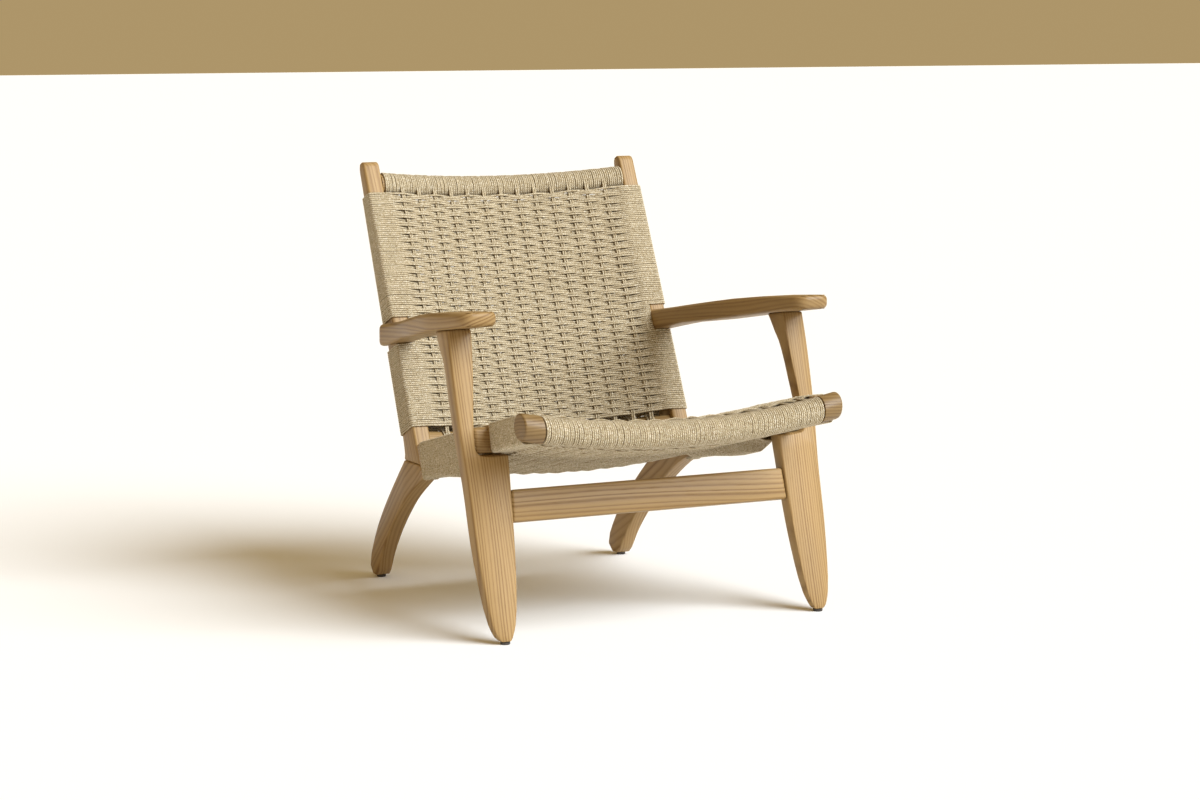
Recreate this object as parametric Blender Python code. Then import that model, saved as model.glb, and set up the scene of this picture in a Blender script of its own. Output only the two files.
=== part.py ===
"""Low wooden armchair with a woven paper-cord seat and back, built joint by joint.

World frame: metres, +Z up, the chair faces -Y, X = 0 is its plane of symmetry, the floor is Z = 0.
While modelling, y is counted from the tips of the front feet; settle() moves it to the origin,
which lies on the floor under the middle of the chair. Left is the sitter's left, at +X.
"""
import math

import bmesh
import bpy
from mathutils import Vector

# ---- Driving dimensions, metres --------------------------------------------------------------
GAP = 0.0003                   # clearance left wherever two pieces touch
FRONT_TOE_TO_ORIGIN = 0.2756   # y of the origin, counted from the front feet
CORD = 0.0037                  # thickness of one layer of paper cord
PAD_HEIGHT = 0.004             # glides under the feet
PAD_RADIUS = 0.008
NAIL_RADIUS = 0.0013
NAIL_LENGTH = 0.016

RECLINE = math.radians(25.0)   # back, from the vertical
BACK_Y, BACK_Z = 0.402, 0.292  # a point on the front face of the stiles
STILE_IN, STILE_OUT = 0.2355, 0.2645
STILE_FOOT_Z = 0.232
STILE_TOP_Z = 0.733
STILE_DEPTH_LOW, STILE_DEPTH_HIGH = 0.0511, 0.0245
STILE_FLARE = 0.0066           # extra depth where the stile meets the rear leg
STILE_ROUND = 0.013

SEAT_Z, SEAT_SLOPE = 0.357, 0.236   # top of the side rails: z = SEAT_Z - SEAT_SLOPE * y
RAIL_HEIGHT = 0.044
RAIL_WIDTH = 0.028
RAIL_OUT, RAIL_SPLAY = 0.264, 0.037  # outer face at y = 0.40, growing towards the front
RAIL_FRONT_Y = -0.052

LEG_LEAN = 0.2663              # front face: y = LEG_Y + LEG_LEAN * z + LEG_TOE * (x - LEG_X)
LEG_Y, LEG_X, LEG_TOE = -0.020, 0.290, 0.060
REAR_TOE = 0.0663              # the rear feet stand closer together than the stiles
SHOULDER_Z = 0.2915            # the notch's floor, which the side rail rests on
ARM_Z, ARM_SLOPE = 0.5065, 0.140    # underside of the armrest: z = ARM_Z - ARM_SLOPE * y
ARM_NOSE_Y = 0.034
ARM_ROUND = 0.0080

FRONT_RAIL_Y, FRONT_RAIL_Z = -0.065, 0.350
FRONT_RAIL_END = 0.288
FRONT_RAIL_RADIUS, FRONT_CORE_RADIUS = 0.0225, 0.0190
FRONT_WRAP_END = 0.254
FRONT_BOW, REAR_BOW = 0.025, 0.018
REAR_RAIL_Y, REAR_RAIL_Z, REAR_RAIL_RADIUS = 0.358, 0.2475, 0.0155
BACK_BOW = 0.030
TOP_RAIL_S, TOP_RAIL_N = 0.450, 0.0105
TOP_RAIL_HALF_HEIGHT, TOP_RAIL_HALF_DEPTH = 0.0170, 0.0110
LOW_RAIL_S, LOW_RAIL_N = -0.0190, 0.0150
LOW_RAIL_HALF_HEIGHT, LOW_RAIL_HALF_DEPTH = 0.0160, 0.0100

STRETCHER_Z, STRETCHER_HALF_HEIGHT, STRETCHER_THICK = 0.2120, 0.0262, 0.0230
STRETCHER_SETBACK, STRETCHER_REACH = 0.0030, 0.2521

WEAVE_LOW_S, WEAVE_HIGH_S = 0.0020, 0.4290     # woven stretch, along the stiles
ARM_GAP_LOW_S, ARM_GAP_HIGH_S = 0.1505, 0.2010  # bare stretch of stile behind the armrest

SEAT_NORMAL = Vector((0.0, SEAT_SLOPE, 1.0)).normalized()
UP_BACK = Vector((0.0, math.sin(RECLINE), math.cos(RECLINE)))
BACK_NORMAL = Vector((0.0, math.cos(RECLINE), -math.sin(RECLINE)))
BACK_POINT = Vector((0.0, BACK_Y, BACK_Z))
SIDES = (("left", 1.0), ("right", -1.0))


# ---- Scene and materials ---------------------------------------------------------------------
def clear_scene():
    for item in list(bpy.data.objects):
        bpy.data.objects.remove(item, do_unlink=True)


def material(name, colour, roughness, metallic=0.0):
    made = bpy.data.materials.new(name)
    made.use_nodes = True
    shader = made.node_tree.nodes["Principled BSDF"]
    shader.inputs["Base Color"].default_value = (*colour, 1.0)
    shader.inputs["Roughness"].default_value = roughness
    shader.inputs["Metallic"].default_value = metallic
    made.diffuse_color = (*colour, 1.0)
    return made


WOOD = ((0.52, 0.33, 0.16), 0.45)
CORD_LOOK = ((0.66, 0.56, 0.38), 0.85)
PAD_LOOK = ((0.05, 0.04, 0.035), 0.55)
STEEL_LOOK = ((0.60, 0.60, 0.60), 0.35, 1.0)


# ---- Solids ----------------------------------------------------------------------------------
def settle(name, mesh, look):
    """Turn a bmesh into a named object in the world frame, faces out, round parts smooth."""
    for vertex in mesh.verts:
        vertex.co.y -= FRONT_TOE_TO_ORIGIN
    bmesh.ops.recalc_face_normals(mesh, faces=mesh.faces)
    data = bpy.data.meshes.new(name)
    mesh.to_mesh(data)
    mesh.free()
    data.shade_smooth()
    data.set_sharp_from_angle(angle=math.radians(35.0))
    item = bpy.data.objects.new(name, data)
    data.materials.append(material(name, *look))
    bpy.context.scene.collection.objects.link(item)
    return item


def block_mesh(columns, rows, near, far, keep=None):
    """Closed body over a grid: near and far give a corner's place on its two faces.

    keep(column, row) leaves cells out, which is how a notch is made.
    """
    mesh = bmesh.new()
    made = {}

    def corner(side, i, j):
        key = (side, i, j)
        if key not in made:
            place = near if side == 0 else far
            made[key] = mesh.verts.new(place(columns[i], rows[j]))
        return made[key]

    cells = {(i, j) for i in range(len(columns) - 1) for j in range(len(rows) - 1)
             if keep is None or keep(i, j)}
    for i, j in sorted(cells):
        ring = ((i, j), (i + 1, j), (i + 1, j + 1), (i, j + 1))
        for side in (0, 1):
            mesh.faces.new([corner(side, *at) for at in ring])
        for start, end, beyond in ((0, 1, (i, j - 1)), (1, 2, (i + 1, j)),
                                   (2, 3, (i, j + 1)), (3, 0, (i - 1, j))):
            if beyond not in cells:
                a, b = ring[start], ring[end]
                mesh.faces.new([corner(0, *a), corner(0, *b), corner(1, *b), corner(1, *a)])
    return mesh


def rod_mesh(rings):
    """Closed body through rings of points, with flat ends."""
    mesh = bmesh.new()
    loops = [[mesh.verts.new(point) for point in ring] for ring in rings]
    count = len(loops[0])
    for low, high in zip(loops, loops[1:]):
        for k in range(count):
            mesh.faces.new([low[k], low[(k + 1) % count], high[(k + 1) % count], high[k]])
    mesh.faces.new(loops[0])
    mesh.faces.new(loops[-1])
    return mesh


def sleeve_mesh(outer, inner):
    """Closed tube between two sets of rings, such as cord wrapped round a rail."""
    mesh = bmesh.new()
    skins = [[[mesh.verts.new(point) for point in ring] for ring in rings]
             for rings in (outer, inner)]
    count = len(outer[0])
    for skin in skins:
        for low, high in zip(skin, skin[1:]):
            for k in range(count):
                mesh.faces.new([low[k], low[(k + 1) % count], high[(k + 1) % count], high[k]])
    for end in (0, -1):
        wide, thin = skins[0][end], skins[1][end]
        for k in range(count):
            mesh.faces.new([wide[k], wide[(k + 1) % count], thin[(k + 1) % count], thin[k]])
    return mesh


def ellipse(centre, across, along, half_across, half_along, count):
    return [centre + across * (half_across * math.cos(angle))
            + along * (half_along * math.sin(angle))
            for angle in (2.0 * math.pi * k / count for k in range(count))]


def spread(low, high, count):
    return [low + (high - low) * k / (count - 1) for k in range(count)]


def through(points, steps):
    """Smooth curve through the points, steps between each pair, as a list of tuples."""
    ends = [points[0], *points, points[-1]]
    curve = []
    for a, b, c, d in zip(ends, ends[1:], ends[2:], ends[3:]):
        for k in range(steps):
            t = k / steps
            curve.append(tuple(0.5 * (2 * q + (r - p) * t + (2 * p - 5 * q + 4 * r - s) * t * t
                                      + (3 * q - p - 3 * r + s) * t ** 3)
                               for p, q, r, s in zip(a, b, c, d)))
    curve.append(tuple(points[-1]))
    return curve


def spaced(curve, count):
    """The same curve with its points evenly spaced."""
    lengths = [0.0]
    for a, b in zip(curve, curve[1:]):
        lengths.append(lengths[-1] + math.dist(a, b))
    return [tuple(along_curve([(d, p[k]) for d, p in zip(lengths, curve)],
                              lengths[-1] * i / (count - 1)) for k in (0, 1))
            for i in range(count)]


def along_curve(curve, where):
    """Second value of a curve of pairs, at a first value that only grows along it."""
    for (a, u), (b, v) in zip(curve, curve[1:]):
        if where <= b:
            return u + (v - u) * max(0.0, where - a) / (b - a)
    return curve[-1][1]


# ---- Modifiers and joints --------------------------------------------------------------------
def soften(item, width, segments=2, angle=40.0):
    bevel = item.modifiers.new("edges", "BEVEL")
    bevel.width = width
    bevel.segments = segments
    bevel.limit_method = "ANGLE"
    bevel.angle_limit = math.radians(angle)
    bevel.harden_normals = False
    bevel.use_clamp_overlap = False
    return item


def hidden(item):
    item.hide_render = True
    item.display_type = "WIRE"
    return item


def combine(item, tool, operation):
    boolean = item.modifiers.new(tool.name, "BOOLEAN")
    boolean.operation = operation
    boolean.solver = "EXACT"
    boolean.object = tool


def cylinder_between(name, start, end, radius, count=12):
    """Plain round body from start to end."""
    start, end = Vector(start), Vector(end)
    axis = (end - start).normalized()
    across = axis.orthogonal().normalized()
    along = axis.cross(across)
    return settle(name, rod_mesh([ellipse(place, across, along, radius, radius, count)
                                  for place in (start, end)]), WOOD)


def drill(items, name, start, end, radius, count=12):
    """Bore a hole of this radius from start to end in every item."""
    bit = hidden(cylinder_between(name + "_bore", start, end, radius, count))
    for item in items:
        combine(item, bit, "DIFFERENCE")


def dowel(name, items, start, end, radius):
    """Loose dowel between two pieces, with the holes that it sits in."""
    start, end = Vector(start), Vector(end)
    spare = (end - start).normalized() * (3.0 * GAP)
    drill(items, name, start - spare, end + spare, radius + GAP)
    return cylinder_between(name, start, end, radius)


def tenon(male, female, name, start, end, radius):
    """Round tenon that belongs to male and sits in a hole in female."""
    start, end = Vector(start), Vector(end)
    axis = (end - start).normalized()
    combine(male, hidden(cylinder_between(name + "_tenon", start - axis * 0.004, end, radius)),
            "UNION")
    drill([female], name, start - axis * 0.002, end + axis * (3.0 * GAP), radius + GAP)


def sided(place, side):
    """A point of the left half, moved to the side wanted."""
    return (place[0] * side, place[1], place[2])


# ---- Lines that several pieces share ---------------------------------------------------------
def seat_line(y):
    return SEAT_Z - SEAT_SLOPE * y


def back_place(x, s, n):
    """Point of the back: s up along the stiles, n behind their front face."""
    return BACK_POINT + UP_BACK * s + BACK_NORMAL * n + Vector((x, 0.0, 0.0))


def back_front_y(z):
    return BACK_Y + math.tan(RECLINE) * (z - BACK_Z)


def stile_depth(s):
    share = (s + 0.02) / 0.50
    flare = STILE_FLARE * (max(0.0, 0.01 - s) / 0.055) ** 2
    return STILE_DEPTH_LOW + (STILE_DEPTH_HIGH - STILE_DEPTH_LOW) * share + flare


def rail_out(y):
    return RAIL_OUT + RAIL_SPLAY * (0.40 - y)


def leg_front_y(x, z):
    return LEG_Y + LEG_LEAN * z + LEG_TOE * (x - LEG_X)


def arm_under(y):
    """Underside of an armrest, which is deeper towards the back."""
    drop = 0.004 * min(1.0, max(0.0, (y - 0.16) / 0.14)) + 0.0085 * max(0.0, (y - 0.385) / 0.11)
    return ARM_Z - ARM_SLOPE * y - drop


ARM_RISE = [(0.034, 0.0005), (0.082, 0.0028), (0.155, 0.0062), (0.237, 0.0066), (0.300, 0.0050),
            (0.366, 0.0028), (0.420, 0.0008), (0.520, -0.0005)]


def arm_over(y):
    """Top of an armrest, a little crowned along its length."""
    return ARM_Z + 0.0225 - 0.135 * y + along_curve(ARM_RISE, y)


REAR_LEG_SWEEP = through([(0.596, 0.0043), (0.584, 0.016), (0.562, 0.050), (0.522, 0.095),
                          (0.467, 0.143), (0.404, 0.187), (0.345, 0.217), (0.270, 0.2315),
                          (0.200, 0.2405), (0.150, 0.2530), (0.118, 0.2735), (0.108, 0.2795)], 5)


def side_under(y):
    """Lower edge of a side rail together with the rear leg's arm below it."""
    return min(along_curve(REAR_LEG_SWEEP[::-1], y) - 0.0008, seat_line(y) - RAIL_HEIGHT)


def bowed(reach, x):
    """1 in the middle of a bowed rail, 0 at x = reach."""
    return 1.0 - (x / reach) ** 2


def front_rail_centre(x):
    start = Vector((x, FRONT_RAIL_Y, FRONT_RAIL_Z))
    return start - SEAT_NORMAL * (FRONT_BOW * bowed(0.27, x))


def rear_rail_centre(x):
    start = Vector((x, REAR_RAIL_Y, REAR_RAIL_Z))
    return start - SEAT_NORMAL * (REAR_BOW * bowed(0.24, x))


def top_rail_centre(x):
    return back_place(x, TOP_RAIL_S, TOP_RAIL_N + BACK_BOW * bowed(STILE_IN, x))


def low_rail_centre(x):
    return back_place(x, LOW_RAIL_S, LOW_RAIL_N + BACK_BOW * bowed(STILE_IN, x))


# ---- Wooden pieces ---------------------------------------------------------------------------
def front_leg(name, side):
    """Blade with a notch on its inside: broad below the seat, slim above it."""
    outer = through([(0.0043, 0.297), (0.012, 0.304), (0.035, 0.3115), (0.075, 0.3165),
                     (0.150, 0.3215), (0.240, 0.3235), (0.330, 0.3290), (0.430, 0.3305),
                     (0.495, 0.3285)], 6)
    inner = through([(0.0043, 0.281), (0.012, 0.2765), (0.035, 0.2685), (0.075, 0.2625),
                     (0.150, 0.2560), (0.240, 0.2515), (0.295, 0.2490)], 6)
    upper = through([(0.280, 0.3045), (0.330, 0.3035), (0.380, 0.2980), (0.430, 0.2925),
                     (0.470, 0.2895), (0.495, 0.2885)], 6)
    notch_round = 0.013
    thick = through([(0.0, 0.017), (0.030, 0.021), (0.090, 0.0255), (0.170, 0.0285),
                     (0.370, 0.0287), (0.415, 0.0292), (0.440, 0.0330), (0.455, 0.0405),
                     (0.470, 0.0475), (0.495, 0.0530)], 6)
    low = spread(0.0043, 0.030, 5)[:-1] + spread(0.030, SHOULDER_Z, 12)
    curve = [SHOULDER_Z + notch_round * (1.0 - math.cos(math.radians(a)))
             for a in (15.0, 40.0, 65.0, 90.0)]
    high = spread(curve[-1] + 0.020, 0.490, 11)
    rows = low + curve + high
    shoulder = len(low) - 1

    def edge(column, z):
        if column == 2:
            return along_curve(outer, z)
        if column == 0:
            return along_curve(inner, min(z, SHOULDER_Z))
        rise = min(1.0, max(0.0, (z - SHOULDER_Z) / notch_round))
        fillet = notch_round * (1.0 - math.sqrt(max(0.0, 1.0 - (1.0 - rise) ** 2)))
        line = along_curve(upper, max(z, 0.280)) - fillet
        if z >= SHOULDER_Z:
            return line
        share = (SHOULDER_Z - z) / SHOULDER_Z
        return line + share * (0.5 * (along_curve(inner, z) + along_curve(outer, z)) - line)

    def place(column, z, behind):
        x = edge(column, z)
        y = leg_front_y(x, z) + behind * along_curve(thick, z)
        if z >= 0.490:
            z = arm_under(y) - GAP
        return Vector((x * side, y, z))

    mesh = block_mesh([0, 1, 2], rows, lambda c, z: place(c, z, 0.0),
                      lambda c, z: place(c, z, 1.0), lambda i, j: i == 1 or j < shoulder)
    return soften(settle(name, mesh, WOOD), 0.0032)


def rear_leg(name, side):
    """Boomerang: a foot that sweeps up and forward to lie under the side rail."""
    lower = spaced(REAR_LEG_SWEEP, 41)
    back = spaced(through([(0.612, 0.0043), (0.627, 0.020), (0.618, 0.046), (0.587, 0.093),
                           (0.541, 0.143), (0.488, 0.192), (0.458, 0.2185),
                           (0.4425, STILE_FOOT_Z)], 5), 16)
    seat = [(y, STILE_FOOT_Z) for y in (0.425, 0.408, 0.391, back_front_y(STILE_FOOT_Z))]
    under = [(y, seat_line(y) - RAIL_HEIGHT - GAP) for y in spread(0.3705, 0.112, 21)]
    upper = back + seat + under

    def place(column, row, outline):
        y, z = outline[row]
        middle = rail_out(min(y, 0.39)) - 0.5 * RAIL_WIDTH - REAR_TOE * max(0.0, y - 0.44)
        return Vector(((middle + (column - 0.5) * (RAIL_WIDTH - 0.001)) * side, y, z))

    mesh = block_mesh([0, 1], list(range(len(upper))), lambda c, r: place(c, r, lower),
                      lambda c, r: place(c, r, upper))
    return soften(settle(name, mesh, WOOD), 0.0028)


def back_stile(name, side):
    """Reclined post, deeper at the seat, its top rounded front to back."""
    top = (STILE_TOP_Z - BACK_Z) / math.cos(RECLINE) + 0.004
    straight = spread(-0.03, 0.012, 5)[:-1] + spread(0.012, top - STILE_ROUND, 11)
    rounded = [top - STILE_ROUND * (1.0 - math.sin(math.radians(a)))
               for a in (20.0, 40.0, 58.0, 74.0)]

    def place(x, s, behind):
        depth = stile_depth(s)
        rise = max(0.0, (s - (top - STILE_ROUND)) / STILE_ROUND)
        half = 0.5 * depth * math.sqrt(max(0.0, 1.0 - rise ** 2))
        return back_place(x * side, s, 0.5 * depth + behind * half)

    def foot(x, behind):
        n = stile_depth(-0.05) * 0.5 * (1.0 + behind)
        s = (STILE_FOOT_Z + GAP - BACK_Z + n * math.sin(RECLINE)) / math.cos(RECLINE)
        return back_place(x * side, s, n)

    rows = [None, *straight, *rounded]
    mesh = block_mesh([STILE_IN, STILE_OUT], rows,
                      lambda x, s: foot(x, -1.0) if s is None else place(x, s, -1.0),
                      lambda x, s: foot(x, 1.0) if s is None else place(x, s, 1.0))
    return soften(settle(name, mesh, WOOD), 0.0028)


def side_rail(name, side):
    """Seat rail from the front rail to the stile, swelling outwards to fill the leg's notch."""
    rows = spread(RAIL_FRONT_Y, 0.360, 12) + [None]

    def place(inset, y, height):
        if y is None:
            low = height * RAIL_HEIGHT
            y = (BACK_Y + math.tan(RECLINE) * (SEAT_Z - low - BACK_Z)) - GAP
            y /= 1.0 + math.tan(RECLINE) * SEAT_SLOPE
        x = rail_out(y) - inset * RAIL_WIDTH
        return Vector((x * side, y, seat_line(y) - height * RAIL_HEIGHT))

    mesh = block_mesh([0.0, 1.0], rows, lambda i, y: place(i, y, 0.0),
                      lambda i, y: place(i, y, 1.0))
    rail = soften(settle(name, mesh, WOOD), 0.0028)

    def swelling(out, z, behind):
        x = rail_out(0.085) - 0.010 if out == 0.0 else 0.3005
        y = leg_front_y(x, z) + (0.010 if behind == 0.0 else 0.0265)
        return Vector((x * side, y, z))

    cheek = block_mesh([0.0, 1.0], [SHOULDER_Z + 0.0020, 0.3340],
                       lambda o, z: swelling(o, z, 0.0), lambda o, z: swelling(o, z, 1.0))
    cheek_item = soften(settle(name + "_cheek", cheek, WOOD), 0.006, 3)
    combine(rail, hidden(cheek_item), "UNION")
    return rail


def armrest(name, side):
    """Paddle with a rounded nose, notched round the stile and resting on the front leg."""
    inner = through([(ARM_NOSE_Y, 0.2960), (0.0365, 0.2850), (0.044, 0.2770), (0.060, 0.2725),
                     (0.110, 0.2690), (0.200, 0.2620), (0.320, 0.2450), (0.400, 0.2365),
                     (0.480, 0.2325)], 4)
    outer = through([(ARM_NOSE_Y, 0.3170), (0.0365, 0.3280), (0.044, 0.3350), (0.060, 0.3390),
                     (0.110, 0.3420), (0.180, 0.3390), (0.280, 0.3180), (0.380, 0.2950),
                     (0.450, 0.2830), (0.520, 0.2785)], 4)
    rows = ([ARM_NOSE_Y, 0.0352, 0.0385, 0.044, 0.052] + spread(0.064, 0.440, 14)
            + ["stile", 0.500, 0.516])
    notch_row = len(rows) - 3
    spine = dict(zip(rows[1:5], (0.0460, 0.0510, 0.0555, 0.0595)))

    def place(column, row, height):
        """height 0 is the underside, 1 the top; the middle line keeps clear of the nose."""
        if column == 1 and row in spine:
            row = spine[row]
        if row == "stile":
            y = 0.462
            for _ in range(4):
                z = arm_under(y) + height * (arm_over(y) - arm_under(y))
                y = back_front_y(z) - GAP
        else:
            y = row
        z = arm_under(y) + height * (arm_over(y) - arm_under(y))
        if column == 0:
            x = along_curve(inner, y)
        elif column == 2:
            x = along_curve(outer, y)
        else:
            share = min(1.0, max(0.0, (y - 0.064) / 0.10))
            middle = 0.5 * (along_curve(inner, y) + along_curve(outer, y))
            x = middle + share * (STILE_OUT + GAP - middle)
        return Vector((x * side, y, z))

    mesh = block_mesh([0, 1, 2], rows, lambda c, r: place(c, r, 0.0),
                      lambda c, r: place(c, r, 1.0),
                      lambda i, j: i == 1 or j < notch_row)
    bmesh.ops.recalc_face_normals(mesh, faces=mesh.faces)
    weight = mesh.edges.layers.float.new("bevel_weight_edge")
    for edge in mesh.edges:
        if edge.calc_face_angle(0.0) > math.radians(50.0):
            at_stile = all(v.co.y > 0.450 and abs(v.co.x) < STILE_OUT + 0.002 for v in edge.verts)
            edge[weight] = 0.08 if at_stile else 1.0
    arm = soften(settle(name, mesh, WOOD), ARM_ROUND, 4)
    arm.modifiers["edges"].limit_method = "WEIGHT"
    return arm


def rail_ring(centre, x, half_depth, half_height, count):
    """Ring round a rail that runs along X; the back's rails lean with the stiles."""
    if centre in (top_rail_centre, low_rail_centre):
        return ellipse(centre(x), BACK_NORMAL, UP_BACK, half_depth, half_height, count)
    return ellipse(centre(x), Vector((0.0, 1.0, 0.0)), Vector((0.0, 0.0, 1.0)),
                   half_depth, half_height, count)


def bowed_rod(name, centre, stations, section, count):
    """Rod along X through centre(x); section(x) gives its two half sizes."""
    return settle(name, rod_mesh([rail_ring(centre, x, *section(x), count) for x in stations]),
                  WOOD)


def front_rail():
    end_round = 0.0035

    def section(x):
        past = max(0.0, abs(x) - (FRONT_RAIL_END - end_round)) / end_round
        radius = FRONT_RAIL_RADIUS if abs(x) >= FRONT_WRAP_END else FRONT_CORE_RADIUS
        radius -= end_round * (1.0 - math.sqrt(max(0.0, 1.0 - past ** 2)))
        return radius, radius

    ends = [FRONT_RAIL_END - end_round * (1.0 - math.sin(math.radians(a)))
            for a in (90.0, 72.0, 52.0, 30.0, 0.0)]
    half = ends + [FRONT_WRAP_END, FRONT_WRAP_END - 0.0004]
    stations = [-x for x in half] + spread(-0.225, 0.225, 9) + half[::-1]
    return bowed_rod("seat_front_rail", front_rail_centre, stations, section, 24)


def plain_rail(name, centre, reach, half_depth, half_height):
    return bowed_rod(name, centre, spread(-reach, reach, 11),
                     lambda x: (half_depth, half_height), 14)


def stretcher():
    """Flat rail between the front legs, leaning with them."""
    lean = Vector((0.0, LEG_LEAN, 1.0)).normalized()
    behind = Vector((0.0, 1.0, -LEG_LEAN)).normalized()

    def place(x, height, depth):
        y = leg_front_y(STRETCHER_REACH, STRETCHER_Z) + STRETCHER_SETBACK
        start = Vector((x, y, STRETCHER_Z)) + lean * (height * STRETCHER_HALF_HEIGHT)
        return start + behind * (depth * STRETCHER_THICK)

    def reach(height):
        return STRETCHER_REACH - 0.055 * height * STRETCHER_HALF_HEIGHT

    mesh = block_mesh([-1.0, 1.0], [-1.0, 1.0], lambda c, h: place(c * reach(h), h, 0.0),
                      lambda c, h: place(c * reach(h), h, 1.0))
    return soften(settle("front_stretcher", mesh, WOOD), 0.0045, 3)


def glide(name, x, y):
    """Plastic pad under a foot, with the nail that holds it."""
    place = Vector((x, y, 0.0))
    sides = 16
    east, north = Vector((1.0, 0.0, 0.0)), Vector((0.0, 1.0, 0.0))

    def ring(radius, z):
        return ellipse(place + Vector((0.0, 0.0, z)), east, north, radius, radius, sides)

    bore, sink = NAIL_RADIUS + GAP, 0.0032
    outer = [ring(PAD_RADIUS - 0.0008, 0.0), ring(PAD_RADIUS, 0.0010),
             ring(PAD_RADIUS, PAD_HEIGHT)]
    inner = [ring(sink + GAP, 0.0), ring(sink + GAP, 0.0014 + GAP), ring(bore, 0.0014 + 2 * GAP),
             ring(bore, PAD_HEIGHT)]
    mesh = bmesh.new()
    skins = [[[mesh.verts.new(p) for p in r] for r in rings] for rings in (outer, inner)]
    pairs = [(a, b) for skin in skins for a, b in zip(skin, skin[1:])]
    pairs += [(skins[0][0], skins[1][0]), (skins[0][-1], skins[1][-1])]
    for a, b in pairs:
        for k in range(sides):
            mesh.faces.new([a[k], a[(k + 1) % sides], b[(k + 1) % sides], b[k]])
    settle(name + "_pad", mesh, PAD_LOOK)
    tip = PAD_HEIGHT + NAIL_LENGTH
    nail = rod_mesh([ring(sink, 0.0004), ring(sink, 0.0014), ring(NAIL_RADIUS, 0.00145),
                     ring(NAIL_RADIUS, tip - 0.002), ring(0.0003, tip)])
    settle(name + "_nail", nail, STEEL_LOOK)


# ---- Cord, as plain solids of the right size and place ---------------------------------------
def wrap_rings(stations, corners, thickness):
    """Rings round a rail whose corners(station) are four points in a ring."""
    rings = []
    for station in stations:
        a, b, c, d = corners(station)
        east, north = (b - a).normalized(), (d - a).normalized()
        rings.append([a - (east + north) * thickness, b + (east - north) * thickness,
                      c + (east + north) * thickness, d + (north - east) * thickness])
    return rings


def wrap(name, stations, corners):
    outer = wrap_rings(stations, corners, CORD)
    inner = wrap_rings(stations, corners, GAP)
    return settle(name, sleeve_mesh(outer, inner), CORD_LOOK)


def stile_wrap(name, side, low, high):
    def corners(s):
        depth = stile_depth(s)
        return [back_place(x * side, s, n) for x, n in
                ((STILE_IN, 0.0), (STILE_OUT, 0.0), (STILE_OUT, depth), (STILE_IN, depth))]

    return wrap(name, spread(low, high, 7), corners)


def rail_wrap(name, side, low, high, under):
    """Cord round a side rail, and round the rear leg's arm where under(y) reaches below it."""
    def corners(y):
        out = rail_out(y)
        return [Vector((x * side, y, z)) for x, z in
                ((out - RAIL_WIDTH, under(y)), (out, under(y)), (out, seat_line(y)),
                 (out - RAIL_WIDTH, seat_line(y)))]

    return wrap(name, spread(low, high, 14), corners)


def rod_wrap(name, centre, reach, half_depth, half_height, count):
    """Cord round a rail that runs along X, from -reach to reach."""
    skins = [[rail_ring(centre, x, half_depth + layer, half_height + layer, count)
              for x in spread(-reach, reach, 11)] for layer in (CORD, GAP)]
    return settle(name, sleeve_mesh(*skins), CORD_LOOK)


def panel(name, columns, rows, place, thickness):
    """Woven panel between its wraps: place(x, row) is its outer face."""
    return settle(name, block_mesh(columns, rows, lambda x, r: place(x, r, 0.0),
                                   lambda x, r: place(x, r, thickness)), CORD_LOOK)


def back_panels():
    reach = STILE_IN - CORD - 2.0 * GAP
    columns = spread(-reach, reach, 13)
    rows = spread(WEAVE_LOW_S, WEAVE_HIGH_S - 0.004, 6)

    def front(x, s, inwards):
        return back_place(x, s, -CORD + BACK_BOW * bowed(STILE_IN, x) + inwards)

    def rear(x, s, inwards):
        return back_place(x, s, stile_depth(s) + CORD + BACK_BOW * bowed(STILE_IN, x) - inwards)

    panel("back_weave_front", columns, rows, front, CORD)
    panel("back_weave_rear", columns, rows, rear, CORD)


def seat_panels():
    def reach(y):
        return rail_out(y) - RAIL_WIDTH - CORD - 2.0 * GAP

    def bow(x, y):
        share = (y - FRONT_RAIL_Y) / (REAR_RAIL_Y - FRONT_RAIL_Y)
        return (FRONT_BOW + (REAR_BOW - FRONT_BOW) * share) * bowed(reach(y) + 0.004, x)

    def top(share, y, inwards):
        x = share * reach(y)
        return (Vector((x, y, seat_line(y) + CORD - 0.0005))
                - SEAT_NORMAL * (bow(x, y) + inwards))

    def bottom(share, y, inwards):
        x = share * reach(y)
        drop = RAIL_HEIGHT + CORD - 0.002 + 0.0065 * max(0.0, y) / REAR_RAIL_Y
        return Vector((x, y, seat_line(y) - drop)) - SEAT_NORMAL * (bow(x, y) - inwards)

    columns = spread(-1.0, 1.0, 13)
    panel("seat_weave_top", columns, spread(-0.028, 0.340, 6), top, CORD)
    panel("seat_weave_bottom", columns, spread(-0.028, 0.335, 6), bottom, CORD)


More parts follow.
